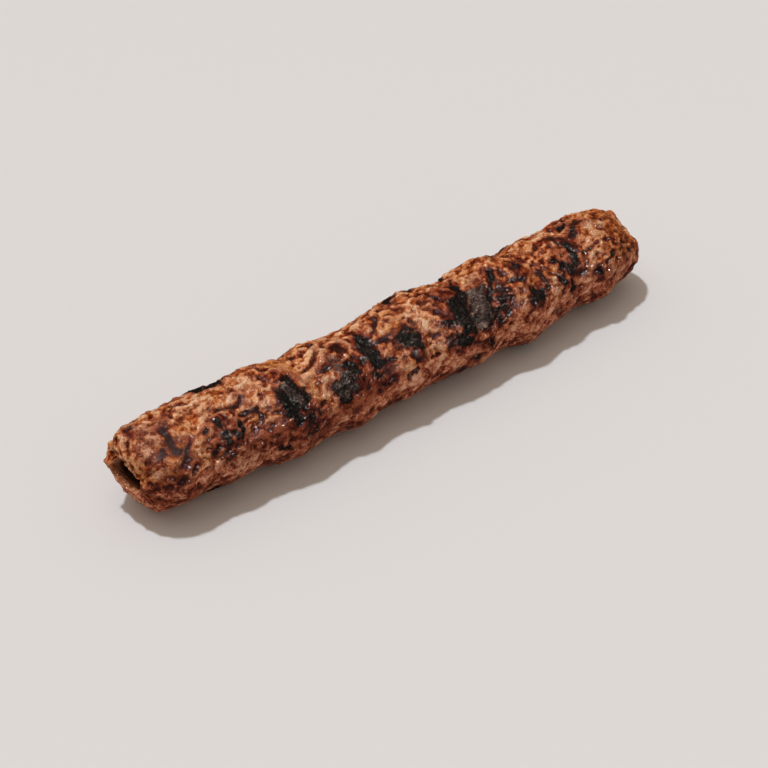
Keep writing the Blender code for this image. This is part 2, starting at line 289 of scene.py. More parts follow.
# Smooth folds where the mince was smeared by a thumb
SMEARS = [
    (0.75, 5.6, (-101, -4), (-98, 48)), (1, 1.6, (-95.6, 16), (-95, 42)), (0.8, 2, (-102, 50), (-95, 50)),
    (0.9, 1.6, (-90.4, 24), (-89.6, 34)), (1, 1.9, (-45.4, 25), (-39.4, 21), (-36.4, 14)),
    (1, 2.6, (-43.6, 42), (-42.6, 54)), (0.8, 1.4, (-39.8, 44), (-40.6, 56)),
    (0.8, 1.6, (-40.4, 74), (-37, 78)), (0.7, 1.4, (-8, 84), (-6, 90)), (0.7, 2.6, (54, -8), (58, 2)),
    (0.7, 2.4, (72, 76), (78, 80)), (0.6, 2.8, (74, 24), (79, 26)),
]

# Creases and slits
CREASES = [
    (1.9, 0.6, (-93.8, 9), (-93.9, 17), (-94.1, 25)), (0.7, 1.2, (-94.3, 27), (-93.6, 36)),
    (0.5, 0.6, (-100.4, 2), (-98.4, 14)), (0.5, 0.6, (-98.4, -6), (-96.4, 6)),
    (0.6, 0.6, (-102.6, 30), (-99.4, 26), (-97.4, 30)), (0.5, 0.6, (-103.4, 48), (-100.6, 46)),
    (0.5, 1, (-92, 46), (-90.8, 42), (-88.6, 36)),
    (0.9, 0.55, (-44.4, 19), (-42, 17), (-39.4, 14), (-37, 9), (-35, 4)),
    (0.4, 0.4, (-43.4, 33), (-40.2, 29), (-36.6, 28)), (0.7, 0.6, (-40.2, 37), (-41.2, 43), (-42.4, 52)),
    (0.9, 0.6, (-42.8, 63), (-41.4, 62)), (0.8, 0.7, (-75.7, 15), (-72, 18), (-68.5, 19), (-65.5, 13)),
    (0.7, 0.5, (-69.4, 32), (-64, 34), (-64.2, 54)), (0.5, 0.35, (-69.4, 41), (-65.6, 40)),
    (0.5, 0.35, (-69.4, 46), (-65.4, 45)), (0.5, 0.35, (-69.2, 51), (-65.4, 50)),
    (0.5, 0.35, (-69, 56), (-65.6, 55)), (0.6, 0.5, (-104, 6), (-105.2, 0), (-103.8, -8)),
    (0.8, 0.45, (20.9, 34), (20.8, 48), (20.9, 62)), (0.8, 0.45, (22.6, 34), (22.6, 48), (22.5, 64)),
    (0.9, 0.5, (55.4, 32), (55.2, 46), (55.6, 60)), (0.9, 0.5, (81.6, 33), (84.6, 32), (88, 35)),
    (1, 0.6, (82.4, 60), (85, 57), (88.2, 53)), (0.7, 0.5, (71.8, 24), (76.2, 37), (80.6, 36)),
    (0.9, 0.5, (30.2, 51), (33, 54), (35.4, 48)), (0.8, 0.7, (-12.6, 9), (-10.4, 2), (-8.6, -6), (-7, -13)),
    (0.9, 0.6, (-16.6, 24), (-11.6, 26)), (0.6, 0.5, (-15.4, 51), (-12.4, 52)),
    (1.5, 0.8, (-9, 84), (-8.2, 78), (-5.8, 76)), (0.8, 0.6, (58, 6), (61.4, 1), (62.4, -4)),
    (0.7, 0.6, (-88.6, 10), (-86, 3), (-82, -1), (-80.6, -14)), (0.4, 0.5, (-61, 20), (-57.6, 21)),
    (0.7, 0.6, (-56.4, -16), (-55, -3)), (0.7, 0.6, (3.6, 46), (5.2, 48), (6.4, 47)),
    (0.5, 0.5, (0.2, 71), (6, 71)), (0.8, 0.7, (39.3, 1), (36.8, 14), (34.4, 23), (31.4, 36)),
    (0.6, 0.5, (36, 32), (39, 30), (43.5, 33), (46.5, 36)), (0.5, 0.5, (68, 78), (74, 80), (80, 83)),
    (0.4, 0.45, (-66, 88), (-60, 84), (-52, 90)),
]

# Pits and blisters: (depth, radius, place)
PITS = [
    (0.9, 1, (-92, 52.7)), (0.9, 1.3, (-94.4, 73)), (0.7, 0.8, (-95.6, 76)), (0.5, 0.9, (-90.7, 69)),
    (0.6, 0.7, (-102.2, 81)), (0.5, 0.6, (-106, 73.5)), (0.7, 0.7, (-42.9, 10)), (0.7, 0.8, (-38.8, -6)),
    (0.6, 0.7, (-37.3, -6)), (0.6, 0.9, (-41.2, -11)), (0.6, 0.7, (-43.7, 1.6)), (0.8, 1, (-33.6, -12)),
    (1.2, 1, (-28.4, 33)), (0.6, 2, (-27.8, 11)), (0.8, 1.1, (-31.6, 2)), (0.7, 0.7, (-1.4, 13.5)),
    (0.8, 0.8, (-0.3, 20.5)), (1, 1, (12.8, 6)), (0.9, 1.2, (-7.6, -12)), (0.8, 1.1, (10.8, -28)),
    (1, 1.3, (48.4, 14)), (1, 0.8, (45.9, 34)), (0.8, 0.8, (52.5, 12)), (0.7, 1, (46.6, 0)),
    (1, 1.1, (61, 54)), (1.2, 1.3, (87.1, 54.8)), (1, 0.9, (97, 63.3)), (0.9, 0.9, (93.8, 29.5)),
    (0.7, 0.7, (80, 46)), (1.2, 1.4, (78.2, 68)), (1, 1.3, (76.8, -11)), (0.9, 1.3, (83, -9)),
    (0.6, 0.7, (82.4, 14)), (0.8, 0.8, (32.3, 65.6)), (0.5, 0.7, (-79.3, 74)), (0.6, 0.7, (-78.3, 82.6)),
    (0.6, 1, (-66, -2)), (0.5, 0.8, (-90, 90)), (0.6, 0.8, (35.5, 78)), (0.6, 0.8, (52.5, 83)),
    (0.6, 0.8, (88.5, 78)), (0.6, 0.7, (3.8, 74)), (0.6, 0.8, (93.5, 3)), (0.5, 0.7, (-86, 74)),
]

# Where the crust is lighter (+) or darker (-) than usual: (stops, half width, points). Partly the crust's own
# tone and partly painted light: painted shade where the meat turns under and along the slit at the open end,
# painted highlights on the far end's rim and in some small dabs.
TONES_AND_PAINTED_LIGHT = [
    # the open end
    # the first stroke paints shade along the slit; (-101, 57) to (-99, 57) on the next line is a painted
    # highlight
    (-1.7, 1.6, (-92.6, 5), (-93.3, 22), (-93, 42)), (-2, 2.3, (-101, 36), (-97.4, 33), (-95.6, 24)),
    (1.6, 1.9, (-101, 57), (-99, 57)), (-1, 1.8, (-98.4, 36)), (0.8, 1.4, (-103, 30), (-102, 24)),
    (-0.7, 1.4, (-94.4, 26), (-93.4, 46)), (-0.8, 1.8, (-95.4, 54)),
    (1.1, 1.7, (-94, 69), (-90.8, 76), (-89.2, 92)), (0.9, 1.4, (-98.6, 88), (-97.4, 102)),
    (-1.3, 2.6, (-97.4, 58), (-91, 61)), (-1, 2.4, (-87, 66)), (-1, 3.6, (-103, 78), (-95, 76)),
    (-1.1, 4, (-101, 96), (-91.6, 96)), (-0.5, 3, (-88, 94), (-84, 92)),
    (-1, 2.4, (-101.6, -32), (-100, -26)), (-1.4, 1.9, (-91.6, 5), (-88, -3), (-85, -12), (-82, -22)),
    (-0.9, 1.6, (-92, 30), (-88.6, 34)), (0.9, 1.8, (-104.4, 8), (-98.6, 12)), (0.8, 1.3, (-101, -15)),
    (0.9, 1.6, (-94.6, -12), (-92.6, -26)), (0.9, 1.4, (-106.4, -20), (-106.2, 60)),
    (1.2, 2.4, (-88, 4), (-83.4, -3), (-79, -6), (-75, -11)),
    (1, 3, (-79.6, -24), (-74.6, -22), (-65, -22)), (0.9, 2.4, (-83, 18), (-82.4, 42)),
    (1, 1.4, (-79.4, 19), (-75.6, 13), (-69.4, 15)),
    # up to the big char
    (-1.6, 2.4, (-69.4, -29), (-67.4, -33)), (0.9, 2.4, (-64.2, -20)),
    (-1.3, 2.4, (-58.6, -13), (-56, -2), (-55, 12)), (-1.5, 2.2, (-75, 23), (-71, 24)),
    (-1.3, 2.2, (-66, 27), (-64.6, 29)), (-1.6, 1.6, (-69.4, 43)), (-1.9, 2, (-65, 42), (-61.8, 48)),
    (-1.2, 2, (-70.6, 74), (-67, 82)), (1.3, 1.4, (-70, 29), (-68.4, 29)),
    (-1.6, 2.4, (-79.6, 62), (-77, 76)), (-0.8, 2.2, (-88.6, 20), (-83, 14), (-76, 5), (-70.6, -2)),
    (1.4, 2.8, (-69, 54), (-66, 48)), (1.8, 2.2, (-62, 54), (-61.6, 68)), (1.1, 2.2, (-67.4, 76)),
    (1.2, 2.6, (-73.4, 79), (-70.6, 92), (-70, 112)), (1, 2, (-57.4, 70), (-53.8, 84)),
    (0.9, 1.6, (-50, 50), (-46.6, 52)), (1, 1.6, (-48.4, 65), (-46.8, 66)),
    (1, 1.6, (-57, 27), (-54.8, 27)), (1.8, 1.4, (-58.8, 19)), (0.9, 2.2, (-54.4, 87), (-51.8, 87)),
    (-1.3, 1.9, (-53.4, 71), (-51.4, 73)), (1.3, 2, (-49, 84), (-45.4, 96)),
    (-1.4, 2.6, (-59.4, 42), (-55.6, 38)), (-0.9, 1.8, (-59, 81)),
    # the folds
    (1.1, 3, (-48, -4), (-44, 14)), (0.9, 2.6, (-45.6, 30), (-45, 50)), (-1.8, 3, (-50.4, 58), (-49.6, 74)),
    (-1, 2.8, (-47, 78), (-43.6, 88)), (1.1, 2.4, (-39.4, 56), (-38, 42), (-34.6, 39)),
    (-2.6, 1.7, (-38.6, 31), (-35.2, 28)), (0.9, 1.6, (-44.4, 30), (-41, 30)),
    (1.2, 2.8, (-37.6, 77), (-36.6, 88)), (0.8, 1.6, (-41, 65)), (1.9, 3, (-28.8, 84), (-24, 85)),
    (0.9, 1.5, (-35, 5)), (1.4, 1.7, (-33.4, 23), (-32.4, 28)), (-1.8, 2.6, (-28.8, 10), (-27.4, 17)),
    (-0.8, 2.2, (-34, -12), (-29, -24)), (-2, 2, (-29, 54), (-28.6, 60)), (1, 1.4, (-23.4, 19), (-20.6, 8)),
    (0.8, 2, (-19.6, -8)),
    # each side of the slanting stripe
    (-2.3, 2, (-22, 38), (-21, 44)), (1.9, 1.7, (-19.8, 53)), (-1.9, 1.9, (-16.8, 17)),
    (-0.7, 2.6, (-16, 6), (-12.6, 18)), (0.6, 1.4, (-14.6, 40), (-11.6, 40)),
    (-1.8, 1.9, (-17, 57), (-13, 53), (-9.4, 45)), (-1.3, 1.5, (-10.4, 26), (-9.6, 8)),
    (1.8, 1.6, (-7.4, 52), (-5, 47)), (0.8, 1.6, (-8.4, 26)), (0.8, 1.6, (-1, 26)), (-0.8, 1.6, (5, 52)),
    (-0.7, 1.8, (9.2, 64)), (-0.8, 2.2, (15.2, 83)), (-1.8, 2, (-8.2, 34), (-8.2, 42)),
    (-0.8, 2.2, (-17.6, 68), (-14.6, 72)), (-1, 2.4, (-19, 81), (-14.6, 80)),
    (1.3, 2, (-12.4, 58), (-9.6, 74)), (-1.9, 2.6, (-7.6, 62), (-3, 57)), (-1.5, 1.4, (-3, 54)),
    (-0.9, 1.6, (-12.6, 27)), (0.8, 2, (-8, 84), (-5, 98)), (-0.8, 2.6, (-9, -34), (-4.6, -30)),
    (-0.8, 2.4, (-8.4, -14), (-7.4, -8)), (1.1, 3.2, (2.4, 44), (5.4, 24)),
    (1.3, 1.8, (0.4, 63), (4.6, 63)), (0.7, 2.6, (6.4, 60)), (1.4, 2.4, (7.4, 85)),
    # round the largest char
    (-2.4, 2.4, (9.8, 8), (11.6, 3)), (0.8, 1.6, (14.2, 0), (17.2, -3)),
    (-2, 1.9, (8.8, 26), (9.4, 46), (9.8, 62)), (-1.4, 2.4, (20.4, -32), (24.4, -30)),
    (-1, 1.8, (15, 16), (18.4, 8)), (1.2, 2, (31, 6), (27.4, 15)), (0.8, 1.8, (9, -3)),
    (0.8, 1.6, (25.6, -18), (27, -12)), (1, 2.2, (27.6, -34), (28.4, -42)), (1.9, 1.3, (32.4, 49)),
    (-0.8, 1.8, (36, 47)), (-1.7, 2, (33.6, 19), (35, 14)), (-1.5, 2, (36.6, 23), (39.6, 18)),
    (-1.6, 2.4, (33.2, 33), (38.6, 40)), (-1.1, 1.8, (41.4, 11), (43.4, 4)),
    (1.3, 1.8, (22.4, 63), (27.4, 70)), (1.4, 1.6, (21.6, 50), (21.8, 57)),
    (1, 1.8, (24.2, 29), (26.6, 22)), (-0.9, 1.6, (30.4, 24)), (-1.4, 1.5, (25.6, 57), (34, 57)),
    (-1.2, 1.4, (35.2, 45)), (1.1, 1.4, (39, 29), (41, 29)), (1, 2, (51.4, 28), (54.4, 29)),
    (-0.8, 2.2, (3.4, 3), (7, 8)), (-0.9, 2, (36, -7), (39.4, -16)), (-0.8, 2.2, (36, -28)),
    (-2, 3.6, (44.8, 25), (49.4, 18), (53, 3)), (-1.5, 2, (37.6, 41), (46.6, 36)),
    (1.5, 2.2, (40.2, 51), (41.8, 54)), (-1.6, 2.8, (24.6, 80), (31, 71), (37.4, 60)),
    (1, 3, (34.4, 88), (38.4, 88)), (1, 2, (42.4, 78), (46, 86)), (0.7, 2.4, (28, 92)),
    (-2.4, 2.8, (45.8, 67), (48.4, 71)),
    # towards the closed end
    (-1.8, 2.2, (57.2, 24), (56.8, 42), (53.8, 54)), (0.8, 2.4, (53, 4), (57.6, 4)), (0.9, 1.6, (57.8, 52)),
    (-2.4, 1.8, (63.2, 33)), (-1, 1.6, (56.4, 42), (58.4, 43)), (1.5, 2.2, (66.6, 18), (69, 26)),
    (-1.5, 2.4, (62.6, 6), (68.6, 2)), (-1.8, 2.2, (72.2, 10), (73.4, 22)),
    (-1.5, 1.7, (77.4, 13), (80, 7)), (-1.9, 2, (71.2, 30), (70.8, 46)), (1, 1.4, (75, 34)),
    (-1.1, 1.8, (74, 26)), (0.8, 1.6, (64, 27)), (-0.7, 1.8, (54, 56)), (-1.2, 2.6, (62.4, 57), (67, 58)),
    (0.8, 2.4, (70.4, 70)), (1.2, 2.2, (69, 75), (73.4, 82)), (-1.7, 2, (74.2, 52), (73.6, 66)),
    # (103, 10) to (103, 28) paints a highlight on the far end's rim
    (1.7, 2.6, (84.6, 82), (87.6, 92)), (0.7, 2.8, (96, 76)), (1.3, 2.6, (103, 10), (103, 28)),
    (0.9, 2.8, (58, 82), (54, 88)), (-2, 2.8, (76.6, -31), (81, -27)), (1.4, 1.8, (82.2, 11)),
    (0.9, 1.8, (83, 2), (85.4, -14)), (0.7, 1.6, (76.4, 4)), (0.7, 1.6, (78.6, 48), (78.6, 64)),
    (-1.9, 2, (82, 61), (85.6, 57)), (-0.7, 2.8, (99.4, -18), (94, -4), (95, 8)), (0.9, 1.8, (96.4, -27)),
    (-1.1, 3, (88.4, 43), (97, 34)), (-1.1, 4, (94, 54), (99.4, 58)), (-0.9, 3, (93.4, 90), (98.4, 92)),
    # smaller patches
    (1.1, 1.5, (-99, 27), (-98, 27)), (0.8, 1.4, (-93, 5)), (0.9, 1.6, (-79, 25)), (1.1, 1.3, (-73, 45)),
    (-1, 1.1, (-69.6, 43)), (-1.1, 1.7, (-63.6, 47)), (1.6, 1.7, (-66.4, 73)),
    (1.6, 1.9, (-56.4, 28), (-53.6, 28)), (-1.3, 1.6, (-56, 60)),
    (1.1, 1.4, (-50, 51)), (-1.1, 1.4, (-47.2, 57), (-45.4, 60)), (-0.8, 1.8, (-42, 50)),
    (-0.9, 1.7, (-92.8, 59)), (-0.9, 2, (-100.4, 84), (-96, 80)), (-1, 1.7, (-76.6, 76)),
    (-1.3, 1.7, (-30.6, 14), (-27.6, 9)), (0.9, 2, (-28, -3)), (1, 1.2, (-19.8, 54)),
    (-0.9, 1.6, (-21.6, 43)), (1.2, 1.1, (-11, 42)), (-1.1, 2, (-7, 63)), (-0.8, 1.6, (-12.4, 30)),
    (0.9, 1.5, (-7.6, 28)), (0.9, 1.2, (-3.6, 43)), (1, 1.8, (-62.4, 8)), (0.9, 1.8, (-52, 6)),
    (-1.2, 1.8, (9.4, 44)), (-1.1, 2, (8.4, 63)), (1.3, 1.2, (31.8, 48)), (1.4, 1.3, (34.4, 26)),
    (0.9, 1.4, (32, 12)), (1.1, 1.3, (22.8, 65), (26.2, 69)), (-0.9, 1.2, (24.4, 57)),
    (-1.1, 2, (29.8, 77)), (-1, 1.3, (36.6, 62)), (-1, 2, (41.4, 88)), (1.1, 1.4, (49.2, 57)),
    (-0.9, 1.6, (56.6, 23)), (0.9, 1.6, (60.4, 31), (67, 27)), (0.9, 1.5, (62.6, 1)), (-1, 1.6, (73.2, 26)),
    (-1, 2.6, (88, 44), (92, 44)), (-1.1, 2, (83, 96)), (1, 1.1, (78.4, 66)), (0.9, 1.4, (88.6, 58)),
    (-1, 3, (36, 112)), (1, 1.6, (76.2, -18)),
    # where the meat turns under: painted shade
    (-0.7, 4, (-104, 122), (100, 122)), (-0.8, 3, (-102, 112), (-97, 116)),
    (-0.8, 2.6, (-86, 112), (-82, 112)), (-0.9, 3.4, (-48, 104), (-45, 110)),
    (-1.1, 3.4, (-32, 108), (-27, 104)), (-1.4, 3.2, (-15, 112), (-11, 112)), (1, 2.2, (-15.4, 97)),
    (-1.2, 3.6, (3.4, 103), (8, 112)), (-1, 3, (40.4, 111)), (-1, 3, (62, 100), (69, 104)),
    (-1.1, 3.4, (76.4, 112), (83, 98)), (-1.4, 3.6, (96.4, 108), (100, 112)), (0.9, 2, (45, 110)),
]

# Where the meat bulges or narrows: (millimetres outwards, half width, points)
SWELLS = [
    (-0.5, 4.5, (-95, -46), (-76, -46)), (-0.8, 4.5, (-63, -46), (-48, -44)),
    (-1.1, 4.5, (-44, -44), (-30, -42)), (-0.5, 4.5, (-18, -42), (14, -40)),
    (-1.2, 4, (35, -52), (40, -42)), (-0.9, 3.4, (30, -52), (38, -62)), (-0.5, 3, (-54, -30), (-50, -28)),
    (-0.6, 2.6, (-33, -28)), (-0.4, 4, (43, -38), (49, -34)), (0.5, 3, (55, -50), (57, -50)),
    (-1.6, 3.6, (61, -48), (65, -46)), (-1, 4, (72, -50), (91, -44)), (-0.7, 3.4, (78, -62), (82, -64)),
    (0.9, 1.6, (104, -20)), (-0.9, 4, (-104, -54), (-102, -48)), (1.6, 3.2, (-104, 130), (-101.6, 142)),
    (0.7, 2.6, (-101, -33)), (-0.5, 3, (-82, 140), (-76, 140)), (0.4, 4, (-54, 128), (-26, 134)),
    (-0.5, 3, (-13, 136), (-11, 136)), (0.4, 4, (46, 126), (56, 124)), (-2, 5, (104, 2), (104, 34)),
    (0.5, 4, (101, 105), (98, 125)),
    # bumps that break the outline
    (0.7, 1.3, (-45, -40)), (0.6, 1.2, (-56, -44)), (0.6, 1.2, (-80, -46)), (0.8, 1.2, (-26.6, -42)),
    (0.5, 1.2, (-13, -42)), (0.6, 1.3, (9, -40)), (0.6, 1.2, (60, -46)), (0.7, 1.3, (71, -44)),
    (0.8, 1.4, (96.5, -24)), (0.9, 1.2, (99.4, 55)), (0.7, 1.2, (99, 88)), (1, 1.3, (-104.5, -60)),
    (1.1, 0.9, (-106, -84)),
    *[(0.5, 0.9, place) for place in (
        (-90, -42), (-69, -44), (-36, -44), (20, -42), (31, -44), (47, -40), (79, -46), (88, -42),
    )],
]


def smoothstep(low, high, values):
    """0 below low, 1 above high and smooth between. low may be above high, which turns it round."""
    share = np.clip((values - low) / (high - low), 0.0, 1.0)
    return share * share * (3.0 - 2.0 * share)


def cloud(points, size, seed):
    """Smooth noise at each point, about -1 to 1. size is the width of its lumps."""
    shift = np.array(SEED_STEP) * seed
    return np.array([noise.noise(p) for p in (points / size + shift).tolist()])


def pillows(points, size, seed):
    """Round lumps with sharp creases between them: 0 in a crease and 1 on a top."""
    return 1.0 - np.exp(-(cloud(points, size, seed) / 0.17) ** 2 * 0.9)


def worms(points, size, seed):
    """Rounded winding ridges: 1 along the middle of each and 0 between them."""
    return np.exp(-(cloud(points, size, seed) / 0.16) ** 2)


def new_object(name, data):
    """An object in the scene."""
    item = bpy.data.objects.new(name, data)
    bpy.context.scene.collection.objects.link(item)
    return item


def even_copy(name):
    """The CAD node's shape as an even grid of small quads, with its facets softened."""
    mesh = frame["nodes"][NODE].data.copy()
    build = bmesh.new()
    build.from_mesh(mesh)
    bmesh.ops.remove_doubles(build, verts=build.verts, dist=0.00001)
    build.to_mesh(mesh)
    build.free()
    item = new_object(name, mesh)
    remesh = item.modifiers.new("even", "REMESH")
    remesh.mode = "VOXEL"
    remesh.voxel_size = GRID / MM
    soften = item.modifiers.new("soften", "SMOOTH")
    soften.factor = 0.5
    soften.iterations = SOFTEN_STEPS
    graph = bpy.context.evaluated_depsgraph_get()
    item.data = bpy.data.meshes.new_from_object(item.evaluated_get(graph))
    item.modifiers.clear()
    item.data.name = name
    return item


def table(items, name, width, kind=np.float64):
    """One property of every item, a row for each."""
    values = np.empty(len(items) * width, dtype=kind)
    items.foreach_get(name, values)
    return values.reshape(-1, width)


class Surface:
    """The meat's points in millimetres, with their places along it and round it."""

    def __init__(self, mesh):
        self.points = table(mesh.vertices, "co", 3) * MM
        self.normals = table(mesh.vertex_normals, "vector", 3)
        self.edges = table(mesh.edges, "vertices", 2, np.int64)
        self.along = self.points[:, 0] - ORIGIN
        across = -self.points[:, 1] / HALF_WIDTH
        up = (self.points[:, 2] - AXIS_HEIGHT) / HALF_HEIGHT
        self.angle = np.degrees(np.arctan2(across, up))
        self.wobble = 0.8 * cloud(self.points, 2.6, 1) + 0.6 * cloud(self.points, 1.3, 2)

    def spread(self, values, steps):
        """Values averaged with their neighbours, several times."""
        first, second = self.edges[:, 0], self.edges[:, 1]
        count = np.bincount(first, minlength=len(values)) + np.bincount(second, minlength=len(values))
        for _ in range(steps):
            total = np.bincount(first, values[second], len(values))
            total += np.bincount(second, values[first], len(values))
            values = 0.5 * values + 0.5 * total / np.maximum(count, 1)
        return values

    def offsets(self, along, angle):
        """Distances along and round the meat from a place on it."""
        turned = (self.angle - angle + 180.0) % 360.0 - 180.0
        return self.along - along, np.radians(turned) * GIRTH_RADIUS

    def distance(self, points):
        """Distance from each point of the surface to a stroke through the given places."""
        if len(points) == 1:
            return np.hypot(*self.offsets(*points[0]))
        nearest = np.full(len(self.along), 1e9)
        for (along_a, angle_a), (along_b, angle_b) in zip(points, points[1:]):
            step, turn = self.offsets(along_a, angle_a)
            run = along_b - along_a
            rise = math.radians(angle_b - angle_a) * GIRTH_RADIUS
            share = np.clip((step * run + turn * rise) / (run * run + rise * rise), 0.0, 1.0)
            nearest = np.minimum(nearest, np.hypot(step - share * run, turn - share * rise))
        return nearest

    def stroke_mask(self, strokes, soft, ragged=1.0):
        """One mask for a list of strokes, whose edges are soft millimetres wide."""
        mask = np.zeros(len(self.along))
        for strength, half_width, *points in strokes:
            edge = self.distance(points) + ragged * min(1.0, half_width / 1.6) * self.wobble - half_width
            mask = np.maximum(mask, strength * smoothstep(soft, -soft, edge))
        return mask

    def total(self, strokes):
        """The sum of soft strokes at each point, such as how far the swells move it outwards."""
        out = np.zeros(len(self.along))
        for amount, half_width, *points in strokes:
            out += amount * np.exp(-(self.distance(points) / half_width) ** 2)
        return out

    def groove_depth(self):
        """Depth of the creases at each point."""
        depth = np.zeros(len(self.along))
        for deep, half_width, *points in CREASES:
            off = np.maximum(0.0, self.distance(points) + 0.6 * self.wobble)
            depth = np.maximum(depth, 0.9 * deep * np.exp(-(off / (half_width + 0.2)) ** 2))
        return depth

    def pit_depth(self):
        """Depth of the pits at each point."""
        depth = np.zeros(len(self.along))
        for deep, radius, place in PITS:
            off = np.maximum(0.0, self.distance([place]) + 0.35 * self.wobble)
            depth = np.maximum(depth, deep * np.exp(-(off / radius) ** 3))
        return depth


def hidden_side_marks():
    """Random marks for the side and the underside that face away from the camera."""
    dice = random.Random(HIDDEN_SEED)
    char, scorch, pale, purple = [], [], [], []
    for _ in range(26):
        along = dice.uniform(-92.0, 96.0)
        angle = dice.uniform(122.0, 310.0)
        size = dice.uniform(0.9, 2.6)
        lean = dice.uniform(-9.0, 9.0)
        for _ in range(dice.randint(1, 3)):
            start = (along + dice.uniform(-2.5, 2.5), angle + dice.uniform(-9.0, 9.0))
            end = (start[0] + 0.2 * lean, start[1] + dice.uniform(4.0, 14.0))
            char.append((dice.uniform(0.7, 1.0), size * dice.uniform(0.6, 1.1), start, end))
        scorch.append((0.85, size + 1.6, (along - 1.5, angle - 8.0), (along + 1.5, angle + 8.0)))
    for marks, count in ((scorch, 46), (pale, 40), (purple, 26)):
        for _ in range(count):
            start = (dice.uniform(-98.0, 98.0), dice.uniform(112.0, 322.0))
            end = (start[0] + dice.uniform(-4.0, 4.0), start[1] + dice.uniform(-12.0, 12.0))
            marks.append((dice.uniform(0.6, 0.95), dice.uniform(0.9, 2.8), start, end))
    return char, scorch, pale, purple


def slot_box():
    """Low corner, high corner and middle of the opening that the skewer left."""
    low, high = np.array(frame["record"]["physics"]["openings"][0]["box_m"]) * MM
    return low, high, 0.5 * (low + high)


def channel_mask(surface):
    """About 0.5 on the walls of the skewer's channel near its mouth and 1 deeper in, where the walls are
    painted dark as shade.
    """
    low, high, middle = slot_box()
    half = 0.5 * (high - low) + np.array([0.0, 2.6, 1.6])
    off = (surface.points[:, 1:] - middle[1:]) / half[1:]
    inside = (np.abs(off) ** 3.2).sum(axis=1)
    facing = ((surface.points[:, 1:] - middle[1:]) * surface.normals[:, 1:]).sum(axis=1)
    # painted shade: the mask rises deeper into the channel, where the walls go dark
    depth = 0.5 + 0.5 * smoothstep(1.5, 6.0, surface.points[:, 0] - cad_low.x * MM)
    return depth * smoothstep(1.25, 0.85, inside) * (facing < 0.4) * (surface.points[:, 0] < high[0] + 9.0)


def colour_masks(surface, zones):
    """The masks that the strokes draw, with more of them on the hidden sides."""
    char_more, scorch_more, pale_more, purple_more = hidden_side_marks()
    char = CHAR + char_more
    halo = [(0.9 * strength, half_width + 1.5, *points) for strength, half_width, *points in char]
    # the scorch mask also carries painted shade along the slits and creases
    scorch = surface.stroke_mask(SCORCH_AND_CREASE_SHADE + scorch_more, 1.6, 1.5)
    scorch = np.maximum(scorch, surface.stroke_mask(halo, 1.7, 1.5))
    scorch = np.maximum(scorch, 0.5 * smoothstep(0.22, 0.6, zones))
    turned = np.abs(surface.angle) + 12.0 * cloud(surface.points, 7.0, 9)
    return {
        "char": surface.stroke_mask(char, 1.3, 1.2),
        "ash": surface.stroke_mask(ASH, 0.9),
        "scorch": scorch,
        # pale marks, partly painted highlights and glints
        "pale": surface.stroke_mask(PALE_AND_GLINTS + pale_more, 0.8),
        "amber": surface.stroke_mask(AMBER, 1.2),
        "purple": surface.stroke_mask(PURPLE + purple_more, 1.0),
        "channel": channel_mask(surface),
        # the low side, which lies in shade and gets the shaded copy of the crust's colours
        "low_side": smoothstep(56.0, 88.0, turned),
        # the crust's own tone together with painted light and shade
        "shade": np.clip(0.5 + 0.2 * surface.total(TONES_AND_PAINTED_LIGHT), 0.0, 1.0),
    }


def shape_crust(surface):
    """How far each point moves out of the smooth meat, and the masks for the crust's colours."""
    points = surface.points
    zones = cloud(points, 6.0, 31) + 0.6 * cloud(points, 2.8, 32)
    masks = colour_masks(surface, zones)
    char, low_side = masks["char"], masks["low_side"]
    lean = points + np.stack([cloud(points, 3.4, 20 + axis) for axis in range(3)], axis=1)
    lean = lean * np.array([0.78, 1.0, 1.0])
    smear = surface.stroke_mask(SMEARS, 0.9, 0.6)
    rough = (1.0 - 0.8 * smear) * (1.0 - 0.5 * low_side) * (1.0 + 0.5 * cloud(points, 9.0, 10))

    lumps = 0.55 * cloud(points, 7.5, 13) + 0.36 * (pillows(lean, 5.4, 14) - 0.6)
    lumps += 0.34 * cloud(lean, 3.4, 21)
    mince = 0.28 * (pillows(lean, 3.0, 11) - 0.6) + 0.34 * worms(lean, 4.2, 22) * smoothstep(-0.1, 0.3, zones)
    mince += 0.62 * cloud(lean, 2.2, 12) + 0.18 * (pillows(lean, 1.6, 18) - 0.6)
    mince *= rough * (1.0 - 0.4 * char)
    fine = (0.3 * cloud(points, 1.1, 15) - 0.16 * np.abs(cloud(lean, 1.4, 17))) * (0.5 + 0.5 * rough)
    blisters = char * (0.6 * (pillows(points, 1.9, 16) - 0.5) + 0.34 * cloud(points, 0.9, 19))
    blisters *= 1.0 - 0.6 * masks["ash"]
    bumps = 0.25 * masks["pale"] + 0.12 * masks["purple"]
    grooves = surface.groove_depth()
    pits = surface.pit_depth()
    marks = grooves + pits
    height = lumps * (1.0 - 0.4 * low_side) + mince + fine + blisters + bumps - marks
    height = (height + surface.total(SWELLS)) * (1.0 - 0.75 * masks["channel"])

    # the material also uses relief to paint shade into the hollows and light onto the tops
    relief = mince + 0.5 * lumps + 0.6 * fine + 0.5 * blisters - marks
    relief -= surface.spread(relief, 80)
    masks["relief"] = np.clip(0.5 + 0.9 * relief, 0.0, 1.0)
    # painted shade: how dark the pits and creases are painted
    masks["hollow_shade"] = np.clip(0.9 * pits + 0.55 * grooves - 0.12, 0.0, 1.0)
    return height, masks


